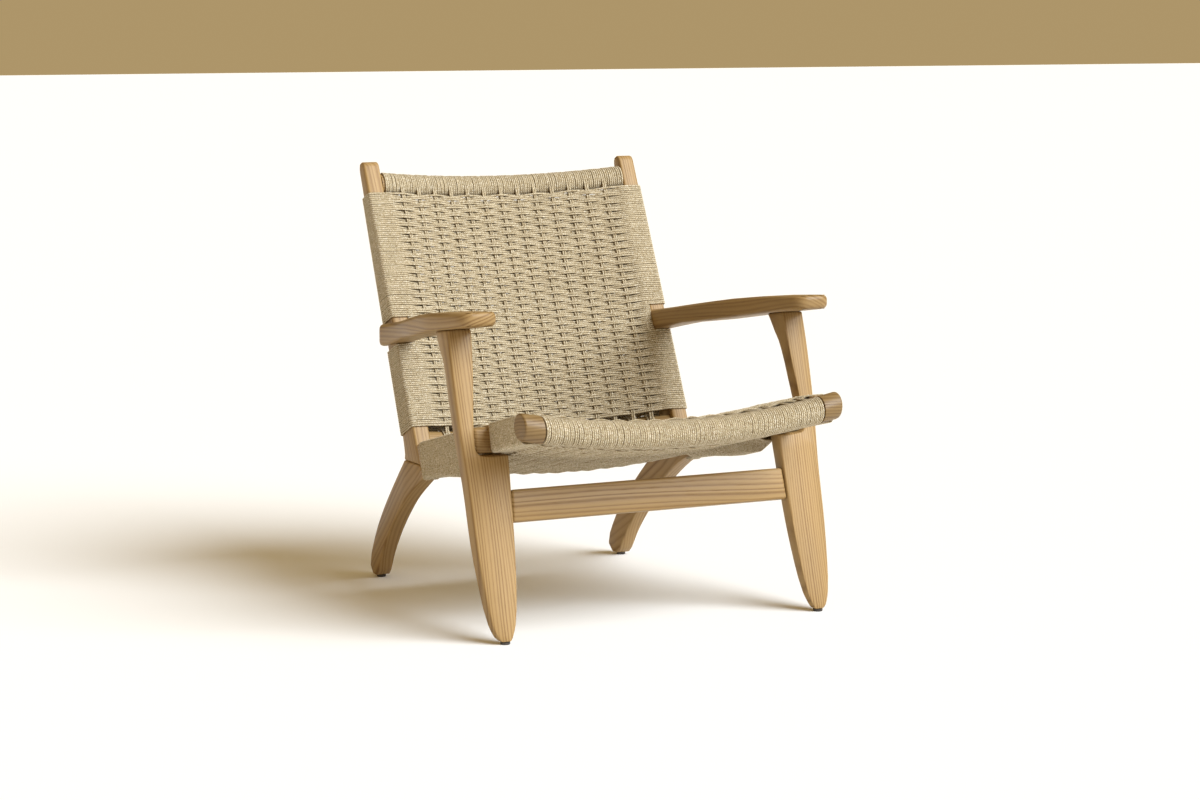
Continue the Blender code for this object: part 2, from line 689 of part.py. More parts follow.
# ---- Assembly --------------------------------------------------------------------------------
def build_side(word, side):
    """One side frame and the joints in it."""
    leg = front_leg("front_leg_" + word, side)
    hind = rear_leg("rear_leg_" + word, side)
    stile = back_stile("back_stile_" + word, side)
    rail = side_rail("seat_side_rail_" + word, side)
    arm = armrest("armrest_" + word, side)

    leg_top = Vector((0.309 * side, 0.131, arm_under(0.131)))
    arm_up = Vector((0.0, LEG_LEAN, 1.0)).normalized()
    tenon(leg, arm, "leg_top_" + word, leg_top - arm_up * 0.012, leg_top + arm_up * 0.013, 0.009)

    for number, z in (("lower", 0.3035), ("upper", 0.3150)):
        y = leg_front_y(0.300, z) + 0.0150
        dowel("leg_dowel_%s_%s" % (number, word), [leg, rail],
              (0.290 * side, y, z), (0.3185 * side, y, z), 0.0030)

    seam = seat_line(0.0) - RAIL_HEIGHT
    for number, y in (("front", 0.190), ("rear", 0.300)):
        x = (rail_out(y) - 0.5 * RAIL_WIDTH) * side
        z = seam - SEAT_SLOPE * y
        dowel("rear_leg_dowel_%s_%s" % (number, word), [hind, rail],
              (x, y, z - 0.013), (x, y, z + 0.017), 0.0040)

    x = 0.5 * (STILE_IN + STILE_OUT) * side
    y = back_front_y(STILE_FOOT_Z) + 0.0445
    dowel("stile_dowel_" + word, [stile, hind], (x, y - 0.008, STILE_FOOT_Z - 0.020),
          (x, y + 0.008, STILE_FOOT_Z + 0.020), 0.0045)

    y = 0.3800
    z = seat_line(y) - 0.5 * RAIL_HEIGHT
    tenon(rail, stile, "rail_end_" + word, (x, y - 0.010, z), (x, y + 0.022, z), 0.0080)

    y = 0.480
    z = 0.5 * (arm_under(y) + arm_over(y))
    dowel("arm_dowel_" + word, [stile, arm], (0.2500 * side, y, z), (0.2735 * side, y, z), 0.0035)

    rear_x = rail_out(0.39) - 0.5 * RAIL_WIDTH - REAR_TOE * (0.604 - 0.44)
    for place, wood, x, y in (("front", leg, 0.289, leg_front_y(0.289, 0.0) + 0.0085),
                              ("rear", hind, rear_x, 0.604)):
        glide("glide_%s_%s" % (place, word), x * side, y)
        drill([wood], "glide_%s_%s" % (place, word), (x * side, y, 0.0),
              (x * side, y, PAD_HEIGHT + NAIL_LENGTH + 0.001), NAIL_RADIUS + GAP)
    return leg, hind, stile, rail, arm


def build():
    clear_scene()
    front = front_rail()
    rear = plain_rail("seat_rear_rail", rear_rail_centre, 0.2365, REAR_RAIL_RADIUS,
                      REAR_RAIL_RADIUS)
    top = plain_rail("back_top_rail", top_rail_centre, STILE_IN - GAP, TOP_RAIL_HALF_DEPTH,
                     TOP_RAIL_HALF_HEIGHT)
    low = plain_rail("back_bottom_rail", low_rail_centre, STILE_IN - GAP, LOW_RAIL_HALF_DEPTH,
                     LOW_RAIL_HALF_HEIGHT)
    bar = stretcher()
    for word, side in SIDES:
        leg, hind, stile, rail, arm = build_side(word, side)
        tenon(bar, leg, "stretcher_" + word,
              sided((0.2490, leg_front_y(0.250, STRETCHER_Z) + 0.0140, STRETCHER_Z), side),
              sided((0.2720, leg_front_y(0.250, STRETCHER_Z) + 0.0140, STRETCHER_Z), side),
              0.0085)
        for bar_name, item, centre, radius in (("top", top, top_rail_centre, 0.0075),
                                               ("low", low, low_rail_centre, 0.0070)):
            start, end = centre(STILE_IN - 0.0010), centre(STILE_IN)
            tenon(item, stile, "%s_rail_%s" % (bar_name, word), sided(start, side),
                  sided(end + Vector((0.016, 0.0, 0.0)), side), radius)
        start = rear_rail_centre(0.2365)
        tenon(rear, rail, "rear_rail_" + word, sided(start, side),
              sided(start + Vector((0.0150, 0.0, 0.0)), side), 0.0075)
        cope = FRONT_RAIL_RADIUS + 2.0 * GAP
        shell = [rail_ring(front_rail_centre, x * side, cope, cope, 24)
                 for x in (0.225, 0.255, 0.285)]
        combine(rail, hidden(settle("cope_" + word, rod_mesh(shell), WOOD)), "DIFFERENCE")
        y = FRONT_RAIL_Y + FRONT_RAIL_RADIUS
        x = rail_out(y) - 0.5 * RAIL_WIDTH
        z = FRONT_RAIL_Z - 0.002
        tenon(rail, front, "rail_front_" + word, (x * side, y + 0.004, z),
              (x * side, y - 0.016, z + 0.002), 0.0085)
        stile_wrap("stile_wrap_upper_" + word, side, ARM_GAP_HIGH_S, WEAVE_HIGH_S)
        stile_wrap("stile_wrap_lower_" + word, side, WEAVE_LOW_S, ARM_GAP_LOW_S)
        rail_wrap("side_rail_wrap_front_" + word, side, -0.0385, 0.050,
                  lambda y: seat_line(y) - RAIL_HEIGHT)
        rail_wrap("side_rail_wrap_rear_" + word, side, 0.114, 0.3380, side_under)
    rod_wrap("front_rail_wrap", front_rail_centre, FRONT_WRAP_END - 0.0012,
             FRONT_CORE_RADIUS, FRONT_CORE_RADIUS, 24)
    rod_wrap("rear_rail_wrap", rear_rail_centre, 0.2295, REAR_RAIL_RADIUS, REAR_RAIL_RADIUS, 14)
    rod_wrap("top_rail_wrap", top_rail_centre, 0.2270,
             TOP_RAIL_HALF_DEPTH, TOP_RAIL_HALF_HEIGHT, 14)
    rod_wrap("bottom_rail_wrap", low_rail_centre, 0.2230,
             LOW_RAIL_HALF_DEPTH, LOW_RAIL_HALF_HEIGHT, 14)
    back_panels()
    seat_panels()


build()
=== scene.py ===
"""Looks of the woven-cord armchair: every cord as a real strand, and oiled ash for the wood.

World frame: metres, +Z up, the chair faces -Y, the sitter's left is +X. As in the part's source,
y is counted from the tips of the front feet while the cords are laid out, and CordPiece moves it.
A weft runs across the chair from side to side, a warp runs up the back or along the seat.
"""
import math

import bpy
import numpy as np
from mathutils import Euler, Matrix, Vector


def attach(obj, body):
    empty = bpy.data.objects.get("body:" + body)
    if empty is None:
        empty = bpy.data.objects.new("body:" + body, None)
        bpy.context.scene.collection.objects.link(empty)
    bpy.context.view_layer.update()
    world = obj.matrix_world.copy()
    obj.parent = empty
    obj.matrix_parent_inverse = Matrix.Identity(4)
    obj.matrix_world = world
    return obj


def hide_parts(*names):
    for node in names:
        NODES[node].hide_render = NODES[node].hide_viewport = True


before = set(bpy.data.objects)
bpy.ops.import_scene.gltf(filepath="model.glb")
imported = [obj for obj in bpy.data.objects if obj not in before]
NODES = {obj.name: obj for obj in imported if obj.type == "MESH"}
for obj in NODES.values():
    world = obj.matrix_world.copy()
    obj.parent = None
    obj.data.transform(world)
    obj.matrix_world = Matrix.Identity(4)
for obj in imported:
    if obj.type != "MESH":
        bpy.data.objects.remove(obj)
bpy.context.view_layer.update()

# ---- The chair's own dimensions, as in the part's source ---------------------------------------
FRONT_TOE_TO_ORIGIN = 0.2756
RECLINE = math.radians(25.0)
BACK_Y, BACK_Z = 0.402, 0.292
STILE_IN, STILE_OUT = 0.2355, 0.2645
STILE_DEPTH_LOW, STILE_DEPTH_HIGH, STILE_FLARE = 0.0511, 0.0245, 0.0066
STILE_LOW_S, STILE_RUN = -0.02, 0.50             # the stile's depth changes evenly over this run
FLARE_TOP_S, FLARE_RUN = 0.01, 0.055             # and grows faster below here
SEAT_Z, SEAT_SLOPE = 0.357, 0.236
RAIL_HEIGHT, RAIL_WIDTH = 0.044, 0.028
RAIL_OUT, RAIL_SPLAY = 0.264, 0.037
FRONT_RAIL_Y, FRONT_RAIL_Z, FRONT_CORE_RADIUS = -0.065, 0.350, 0.0190
FRONT_WRAP_END, REAR_WRAP_END, TOP_WRAP_END = 0.254, 0.2295, 0.2335
FRONT_BOW, REAR_BOW, BACK_BOW = 0.025, 0.018, 0.030
FRONT_BOW_REACH, REAR_BOW_REACH = 0.27, 0.24     # half the length over which each rail bends
REAR_RAIL_Y, REAR_RAIL_Z, REAR_RAIL_RADIUS = 0.358, 0.2475, 0.0155
TOP_RAIL_S, TOP_RAIL_N = 0.450, 0.0105
TOP_RAIL_HALF_HEIGHT, TOP_RAIL_HALF_DEPTH = 0.0170, 0.0110
LOW_RAIL_S, LOW_RAIL_N = -0.0190, 0.0150
LOW_RAIL_HALF_HEIGHT, LOW_RAIL_HALF_DEPTH = 0.0160, 0.0100
WEAVE_LOW_S, WEAVE_HIGH_S = 0.0020, 0.4290
ARM_GAP_LOW_S, ARM_GAP_HIGH_S = 0.1505, 0.2010
CORNER = 0.0030                # rounding of a member's edges under the cord

# ---- The weave -----------------------------------------------------------------------------------
CORD = 0.00362                 # a weft takes this much of the stile
RADIUS = 0.5 * CORD
SIDES = 6                      # faces round a cord
LAY = 0.0115                   # one turn of the cord's twist
COLUMNS = 13                   # pairs of warps in the back
PITCH = 0.0330                 # from one pair of warps to the next
WEFT_SWING, WARP_SWING = 0.0029, 0.0008
REAR_SHARE = 0.6               # the hidden layers are pulled flatter
FULL = 1.10                    # laid side by side, cords press together and widen
FILLS = 9                      # turns on a rail for each column
TURN_POINTS = 24               # points round one of those turns
SEAT_FRONT_Y, SEAT_REAR_Y = -0.0385, 0.3400
SEAT_COLUMNS = 15
LEG_GAP = (0.0665, 0.1025)     # the front leg stands here, so wefts turn inside the rail
UNDER_DROP = 0.0065            # how far the seat's lower layer sinks below the rails at the rear
TUCK = 0.0008                  # gap between a weft and the wood that it turns round or beside
TWIN = 1.02 * RADIUS           # a warp's distance from the middle of its pair
WEFT_STEP, WARP_STEP = 0.0032, 0.0024            # spacing of a cord's points
EASE = 0.018                   # a weft settles on the member's face over this much
SWING_SPREAD, UNEVEN = 0.06, 0.12                # swing differs from weft to weft and along each
LIFT_WOBBLE, DEPTH_WOBBLE, WARP_WOBBLE = 0.00012, 0.00008, 0.00015

BACK_ROWS = int((WEAVE_HIGH_S - WEAVE_LOW_S) / CORD)
BACK_SPACING = (WEAVE_HIGH_S - WEAVE_LOW_S) / BACK_ROWS
SEAT_ROWS = int((SEAT_REAR_Y - SEAT_FRONT_Y) / CORD)
SEAT_SPACING = (SEAT_REAR_Y - SEAT_FRONT_Y) / SEAT_ROWS
BACK_LAST = (COLUMNS - 1) // 2         # columns are numbered from -last to last
SEAT_LAST = (SEAT_COLUMNS - 1) // 2

SEAT_NORMAL = np.array((0.0, SEAT_SLOPE, 1.0)) / math.hypot(1.0, SEAT_SLOPE)
SEAT_BACKWARDS = np.array((0.0, 1.0, -SEAT_SLOPE)) / math.hypot(1.0, SEAT_SLOPE)
UP_BACK = np.array((0.0, math.sin(RECLINE), math.cos(RECLINE)))
BACK_NORMAL = np.array((0.0, math.cos(RECLINE), -math.sin(RECLINE)))
ACROSS = np.array((1.0, 0.0, 0.0))
BACKWARDS = np.array((0.0, 1.0, 0.0))
UP = np.array((0.0, 0.0, 1.0))
BACK_ORIGIN = np.array((0.0, BACK_Y, BACK_Z))
ORIGIN = np.array((0.0, FRONT_TOE_TO_ORIGIN, 0.0))
RNG = np.random.default_rng(20)


# ---- Where things are ----------------------------------------------------------------------------
def smooth_step(value, low, high):
    share = np.clip((value - low) / (high - low), 0.0, 1.0)
    return share * share * (3.0 - 2.0 * share)


def stile_depth(s):
    flare = STILE_FLARE * (np.maximum(0.0, FLARE_TOP_S - s) / FLARE_RUN) ** 2
    change = (STILE_DEPTH_HIGH - STILE_DEPTH_LOW) * (s - STILE_LOW_S) / STILE_RUN
    return STILE_DEPTH_LOW + change + flare


def back_points(x, s, n):
    """Points of the back: s up along the stiles, n behind their front face."""
    x, s, n = np.broadcast_arrays(x, s, n)
    return BACK_ORIGIN + x[:, None] * ACROSS + s[:, None] * UP_BACK + n[:, None] * BACK_NORMAL


def seat_line(y):
    return SEAT_Z - SEAT_SLOPE * y


def rail_out(y):
    return RAIL_OUT + RAIL_SPLAY * (0.40 - y)


def seat_points(x, y, depth):
    """Points of the seat: y along the top of the side rails, depth square to them, downwards."""
    x, y, depth = np.broadcast_arrays(x, y, depth)
    top = np.stack((x, y, seat_line(y)), axis=1)
    return top - depth[:, None] * SEAT_NORMAL


def bowed(reach, x):
    return 1.0 - (np.asarray(x) / reach) ** 2


def seat_bow(x, y):
    share = (y - FRONT_RAIL_Y) / (REAR_RAIL_Y - FRONT_RAIL_Y)
    reach = rail_out(y) - RAIL_WIDTH
    return (FRONT_BOW + (REAR_BOW - FRONT_BOW) * share) * np.maximum(0.0, bowed(reach, x))


def leg_arm_under(y):
    """Underside of the rear leg's forward arm, which the wrapping takes in with the rail."""
    sweep_y = (0.108, 0.118, 0.150, 0.200, 0.270, 0.345, 0.380)
    sweep_z = (0.2795, 0.2735, 0.2530, 0.2405, 0.2315, 0.2170, 0.2020)
    return np.minimum(np.interp(y, sweep_y, sweep_z) - TUCK, seat_line(y) - RAIL_HEIGHT)


def seat_pitch(y):
    """From one pair of seat warps to the next; they spread towards the front."""
    return (rail_out(y) - RAIL_WIDTH) / (SEAT_LAST + 0.6)


def under_layer(y):
    """Depth of the seat's lower layer at its sides."""
    return (RAIL_HEIGHT + UNDER_DROP * np.maximum(0.0, y) / REAR_RAIL_Y) * SEAT_NORMAL[2]


def rail_depth(y):
    """How far the side rail, with the leg's arm, reaches below the seat line, square to it."""
    if y < LEG_GAP[1]:
        return RAIL_HEIGHT * SEAT_NORMAL[2]
    depth = RAIL_HEIGHT
    for _ in range(4):
        low = leg_arm_under(y - SEAT_NORMAL[1] * depth)
        depth = (seat_line(y) - low) / SEAT_NORMAL[2]
    return depth


# ---- Cords ---------------------------------------------------------------------------------------
def wander(count, amount, waves=3):
    """A small closed wobble, as hand-laid cord has."""
    turn = np.linspace(0.0, 2.0 * math.pi, count, endpoint=False)
    total = np.zeros(count)
    for k in range(1, waves + 1):
        total += RNG.normal(0.0, amount / k) * np.cos(k * turn + RNG.uniform(0.0, 6.3))
    return total


class CordPiece:
    """Collects cords and turns them into one mesh."""

    def __init__(self, name, stands_for):
        self.name, self.stands_for = name, stands_for
        self.points, self.faces, self.uvs = [], [], []
        self.count, self.cords = 0, 0

    def add(self, path, across, closed=True):
        """One cord along path; across is a direction that the path keeps square to."""
        path = np.asarray(path, float)
        rings = len(path)
        if closed:
            tangent = np.roll(path, -1, axis=0) - np.roll(path, 1, axis=0)
        else:
            tangent = np.gradient(path, axis=0)
        tangent /= np.linalg.norm(tangent, axis=1)[:, None]
        side = across - (tangent @ across)[:, None] * tangent
        side /= np.linalg.norm(side, axis=1)[:, None]
        out = np.cross(tangent, side)
        angle = np.linspace(0.0, 2.0 * math.pi, SIDES, endpoint=False)
        reach = np.full(rings, RADIUS * FULL)
        if not closed:
            reach[[0, -1]] = 0.1 * RADIUS
        ring = (np.cos(angle)[None, :, None] * side[:, None, :]
                + np.sin(angle)[None, :, None] * out[:, None, :] / FULL)
        self.points.append((path[:, None, :] + ring * reach[:, None, None]).reshape(-1, 3))

        steps = rings if closed else rings - 1
        ahead = np.roll(path, -1, axis=0)[:steps] - path[:steps]
        length = np.concatenate(([0.0], np.cumsum(np.linalg.norm(ahead, axis=1)))) / LAY
        if closed:
            length *= max(1.0, round(length[-1])) / length[-1]
        length += 40.0 * self.cords
        i = np.arange(steps)[:, None]
        k = np.arange(SIDES)[None, :]
        after, beside = (i + 1) % rings, (k + 1) % SIDES
        quads = np.stack((i * SIDES + k, i * SIDES + beside, after * SIDES + beside,
                          after * SIDES + k), axis=-1).reshape(-1, 4)
        self.faces.append(quads + self.count)
        low = np.broadcast_to(length[:-1, None], (steps, SIDES))
        high = np.broadcast_to(length[1:, None], (steps, SIDES))
        near = np.broadcast_to(k / SIDES, (steps, SIDES))
        far = near + 1.0 / SIDES
        self.uvs.append(np.stack((near, low, far, low, far, high, near, high),
                                 axis=-1).reshape(-1, 2))
        self.count += rings * SIDES
        self.cords += 1

    def build(self, material):
        points = np.concatenate(self.points) - ORIGIN
        faces = np.concatenate(self.faces).astype(np.int32)
        mesh = bpy.data.meshes.new(self.name)
        mesh.vertices.add(len(points))
        mesh.vertices.foreach_set("co", points.astype(np.float32).ravel())
        mesh.loops.add(faces.size)
        mesh.polygons.add(len(faces))
        mesh.polygons.foreach_set("loop_start", np.arange(0, faces.size, 4, dtype=np.int32))
        mesh.polygons.foreach_set("vertices", faces.ravel())
        layer = mesh.uv_layers.new(name="UVMap")
        layer.data.foreach_set("uv", np.concatenate(self.uvs).astype(np.float32).ravel())
        mesh.update(calc_edges=True)
        mesh.shade_smooth()
        mesh.materials.append(material)
        item = bpy.data.objects.new(self.name, mesh)
        bpy.context.scene.collection.objects.link(item)
        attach(item, "root")
        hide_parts(*self.stands_for)


def crossing(x, pitch, last, tail=0.85):
    """1 where a weft lies in front of a warp pair, -1 where behind; fades outside the last."""
    share = 0.94
    u = np.abs(x) / pitch
    inside = np.arcsin(share * np.cos(math.pi * u)) / math.asin(share)
    fade = np.clip((u - last) / tail, 0.0, 1.0) * 0.5 * math.pi
    outside = np.arcsin(share * np.cos(fade)) / math.asin(share) * math.cos(math.pi * last)
    return np.where(u <= last, inside, outside)


def member_turn(outside, top, bottom):
    """Across values and depths of a cord turning round a member from its top to its bottom."""
    bend = RADIUS + CORNER
    angle = np.linspace(0.0, 0.5 * math.pi, 5)
    straight = np.linspace(top + bend, bottom - bend, 6)[1:-1]
    x = np.concatenate((outside - CORNER + bend * np.sin(angle),
                        np.full(len(straight), outside + RADIUS),
                        outside - CORNER + bend * np.cos(angle)))
    depth = np.concatenate((top + bend - bend * np.cos(angle), straight,
                            bottom - bend + bend * np.sin(angle)))
    return x, depth


def weft_route(edge, outside, upper, lower, top, bottom):
    """A closed weft: over the upper layer, round one side, back in the lower, round the other.

    upper(x) and lower(x) are the depths of the two layers between the members' inner edges.
    Returns the across values and the depths.
    """
    half = np.arange(-edge, edge + 0.5 * WEFT_STEP, WEFT_STEP)
    wide = outside - edge > 0.015
    spare = np.linspace(edge + 0.004, outside - 0.006, 5) if wide else np.zeros(0)
    turn_x, turn_depth = member_turn(outside, top, bottom)

    def layer(x, shape, level):
        near = smooth_step(np.abs(x), edge - EASE, edge)
        return shape(x) * (1.0 - near) + level * near

    x = np.concatenate((half, spare, turn_x, spare[::-1], half[::-1], -spare,
                        -turn_x[::-1], -spare[::-1]))
    depth = np.concatenate((layer(half, upper, top), np.full(len(spare), top), turn_depth,
                            np.full(len(spare), bottom), layer(half[::-1], lower, bottom),
                            np.full(len(spare), bottom), turn_depth[::-1],
                            np.full(len(spare), top)))
    return x, depth


def unevenness(x, wave, phase):
    """How much deeper or flatter a weft swings at each place."""
    return 1.0 + UNEVEN * np.sin(x * wave + phase)


def back_wefts(material):
    """Wefts of the back, which wrap round the stiles; behind the armrests they turn inside."""
    bands = ((0, "lower", ["stile_wrap_lower_left", "stile_wrap_lower_right"]),
             (BACK_ROWS // 3, "middle", ["back_weave_front", "back_weave_rear"]),
             (2 * BACK_ROWS // 3, "upper", ["stile_wrap_upper_left", "stile_wrap_upper_right"]))
    pieces = []
    for i in range(BACK_ROWS):
        for start, word, stands_for in bands:
            if i == start:
                pieces.append(CordPiece("back_weft_cords_" + word, stands_for))
        s = WEAVE_LOW_S + (i + 0.5) * BACK_SPACING
        row = -1.0 if (i // 2) % 2 else 1.0
        depth = stile_depth(s)
        free = ARM_GAP_LOW_S + RADIUS * 0.5 < s < ARM_GAP_HIGH_S - RADIUS * 0.5
        outside = STILE_IN - RADIUS - TUCK if free else STILE_OUT
        edge = STILE_IN - 0.010 if free else STILE_IN
        swing = WEFT_SWING * (1.0 + RNG.normal(0.0, SWING_SPREAD))
        phase = RNG.uniform(0.0, 6.3)

        def front(x):
            uneven = unevenness(x, 55.0, phase)
            return (BACK_BOW * bowed(STILE_IN, x) - RADIUS
                    - row * swing * uneven * crossing(x, PITCH, BACK_LAST))

        def rear(x):
            uneven = unevenness(x, 47.0, -phase)
            return (depth + BACK_BOW * bowed(STILE_IN, x) + RADIUS
                    + row * REAR_SHARE * swing * uneven * crossing(x, PITCH, BACK_LAST))

        x, n = weft_route(edge, outside, front, rear, -RADIUS, depth + RADIUS)
        lift = wander(len(x), LIFT_WOBBLE) + 0.00035 * np.sin(x * 38.0 + s * 21.0)
        lift += 0.00030 * np.sin(x * 91.0 - s * 57.0)
        path = back_points(x, s + RNG.normal(0.0, DEPTH_WOBBLE) + lift,
                           n + wander(len(x), DEPTH_WOBBLE))
        pieces[-1].add(path, UP_BACK)
    for piece in pieces:
        piece.build(material)


def seat_wefts(material):
    """Wefts of the seat, which wrap round the side rails except where the front legs stand."""
    bands = ((0, "front", ["side_rail_wrap_front_left", "side_rail_wrap_front_right"]),
             (SEAT_ROWS // 3, "middle", ["seat_weave_top", "seat_weave_bottom"]),
             (2 * SEAT_ROWS // 3, "rear",
              ["side_rail_wrap_rear_left", "side_rail_wrap_rear_right"]))
    pieces = []
    for i in range(SEAT_ROWS):
        for start, word, stands_for in bands:
            if i == start:
                pieces.append(CordPiece("seat_weft_cords_" + word, stands_for))
        y = SEAT_FRONT_Y + (i + 0.5) * SEAT_SPACING
        row = -1.0 if (i // 2) % 2 else 1.0
        out = rail_out(y)
        inner = out - RAIL_WIDTH
        free = LEG_GAP[0] < y < LEG_GAP[1]
        outside = inner - RADIUS - TUCK if free else out
        edge = inner - 0.010 if free else inner
        under = under_layer(y)
        bottom = under if free else rail_depth(y) + RADIUS
        pitch = seat_pitch(y)
        swing = WEFT_SWING * (1.0 + RNG.normal(0.0, SWING_SPREAD))
        phase = RNG.uniform(0.0, 6.3)

        def top(x):
            uneven = unevenness(x, 55.0, phase)
            return (seat_bow(x, y) - RADIUS + 0.0005
                    - row * swing * uneven * crossing(x, pitch, SEAT_LAST, 0.5))

        def low(x):
            uneven = unevenness(x, 47.0, -phase)
            return (under + seat_bow(x, y)
                    + row * REAR_SHARE * swing * uneven * crossing(x, pitch, SEAT_LAST, 0.5))

        x, depth = weft_route(edge, outside, top, low, -RADIUS, bottom)
        lift = wander(len(x), LIFT_WOBBLE) + 0.00035 * np.sin(x * 38.0 + y * 21.0)
        path = seat_points(x, y + RNG.normal(0.0, DEPTH_WOBBLE) + lift,
                           depth + wander(len(x), DEPTH_WOBBLE))
        pieces[-1].add(path, SEAT_BACKWARDS)
    side_tails(pieces[-1])
    side_heads(pieces[0])
    for piece in pieces:
        piece.build(material)


def side_heads(piece):
    """Turns on the front corners of the side rails, tucked in against the front rail."""
    for i in range(4):
        y = SEAT_FRONT_Y - (i + 0.5) * CORD
        out = rail_out(y)
        bottom = RAIL_HEIGHT * SEAT_NORMAL[2] + RADIUS
        turn_x, turn_depth = member_turn(out, -RADIUS, bottom)
        keep = turn_depth > -RADIUS + 0.0012 + 0.0012 * i
        x = np.concatenate((turn_x[keep], [out - 0.010, out - 0.018, out - RAIL_WIDTH]))
        depth = np.concatenate((turn_depth[keep], [bottom, bottom, bottom - 0.002]))
        for side in (1.0, -1.0):
            piece.add(seat_points(x * side, y, depth), SEAT_BACKWARDS, closed=False)


def side_tails(piece):
    """Turns on the side rails behind the last weft, tucked in beside the rear rail."""
    for i in range(8):
        y = SEAT_REAR_Y + (i + 0.5) * CORD
        out = rail_out(y)
        bottom = rail_depth(y) + RADIUS
        turn_x, turn_depth = member_turn(out, -RADIUS, bottom)
        tuck = out - RAIL_WIDTH
        x = np.concatenate(([tuck - 0.002, tuck, tuck + 0.004, tuck + 0.012], turn_x,
                            [tuck + 0.012, tuck + 0.004, tuck]))
        depth = np.concatenate(([0.0045, 0.0005, -RADIUS, -RADIUS], turn_depth,
                                [bottom, bottom, bottom - 0.002]))
        for side in (1.0, -1.0):
            piece.add(seat_points(x * side, y, depth), SEAT_BACKWARDS, closed=False)


def resample(path, spacing):
    """The closed path with its points evenly spaced and its corners eased."""
    closed = np.vstack((path, path[:1]))
    length = np.concatenate(([0.0], np.cumsum(np.linalg.norm(np.diff(closed, axis=0), axis=1))))
    count = int(length[-1] / spacing)
    at = np.linspace(0.0, length[-1], count, endpoint=False)
    even = np.stack([np.interp(at, length, closed[:, k]) for k in range(3)], axis=1)
    for _ in range(3):
        even = 0.5 * even + 0.25 * (np.roll(even, 1, axis=0) + np.roll(even, -1, axis=0))
    return even


def ring_round(centre, first, second, half_first, half_second, low, high, count):
    """Arc of an ellipse from angle low to high, in degrees."""
    angle = np.radians(np.linspace(low, high, count))
    return (centre + half_first * np.cos(angle)[:, None] * first
            + half_second * np.sin(angle)[:, None] * second)


def top_rail_centre(x):
    return back_points([x], TOP_RAIL_S, TOP_RAIL_N + BACK_BOW * bowed(STILE_IN, x))[0]


def low_rail_centre(x):
    return back_points([x], LOW_RAIL_S, LOW_RAIL_N + BACK_BOW * bowed(STILE_IN, x))[0]


def front_rail_centre(x):
    start = np.array((x, FRONT_RAIL_Y, FRONT_RAIL_Z))
    return start - SEAT_NORMAL * (FRONT_BOW * bowed(FRONT_BOW_REACH, x))


def rear_rail_centre(x):
    start = np.array((x, REAR_RAIL_Y, REAR_RAIL_Z))
    return start - SEAT_NORMAL * (REAR_BOW * bowed(REAR_BOW_REACH, x))


def row_wave(along, start, spacing):
    """1 on a pair of wefts of the first kind, -1 on a pair of the other."""
    return np.cos(math.pi * (along - start - spacing) / (2.0 * spacing))


def back_warps(material):
    """Pairs of warps from the top rail to the bottom rail, round both."""
    piece = CordPiece("back_warp_cords", ["bottom_rail_wrap"])
    for column in range(-BACK_LAST, BACK_LAST + 1):
        for twin in (-1.0, 1.0):
            x = column * PITCH + twin * TWIN
            bow = BACK_BOW * bowed(STILE_IN, x)
            s = np.linspace(0.012, WEAVE_HIGH_S - 0.010, 60)
            up = back_points(x, s, bow - RADIUS)
            over = ring_round(top_rail_centre(x), BACK_NORMAL, UP_BACK,
                              TOP_RAIL_HALF_DEPTH + RADIUS, TOP_RAIL_HALF_HEIGHT + RADIUS,
                              180.0, 0.0, 15)
            down = back_points(x, s[::-1], stile_depth(s[::-1]) + bow + RADIUS)
            below = ring_round(low_rail_centre(x), BACK_NORMAL, UP_BACK,
                               LOW_RAIL_HALF_DEPTH + RADIUS, LOW_RAIL_HALF_HEIGHT + RADIUS,
                               0.0, -180.0, 13)
            path = resample(np.concatenate((up, over, down, below)), WARP_STEP)
            away = path - BACK_ORIGIN
            along, behind = away @ UP_BACK, away @ BACK_NORMAL - bow
            woven = smooth_step(along, 0.0, 0.006) * smooth_step(-along, -WEAVE_HIGH_S,
                                                                 -WEAVE_HIGH_S + 0.006)
            face = np.where(behind < 0.5 * stile_depth(along), 1.0, -1.0)
            parity = math.cos(math.pi * column)
            wave = row_wave(along, WEAVE_LOW_S, BACK_SPACING)
            shift = face * parity * WARP_SWING * woven * wave
            path = path + shift[:, None] * BACK_NORMAL
            path[:, 0] += wander(len(path), WARP_WOBBLE, 5)
            piece.add(path, ACROSS)
        for extra in (-3.0, 3.0):
            x = column * PITCH + extra * TWIN
            turn = ring_round(low_rail_centre(x), BACK_NORMAL, UP_BACK,
                              LOW_RAIL_HALF_DEPTH + RADIUS, LOW_RAIL_HALF_HEIGHT + RADIUS,
                              0.0, 340.0, 18)
            piece.add(turn, ACROSS)
    piece.build(material)


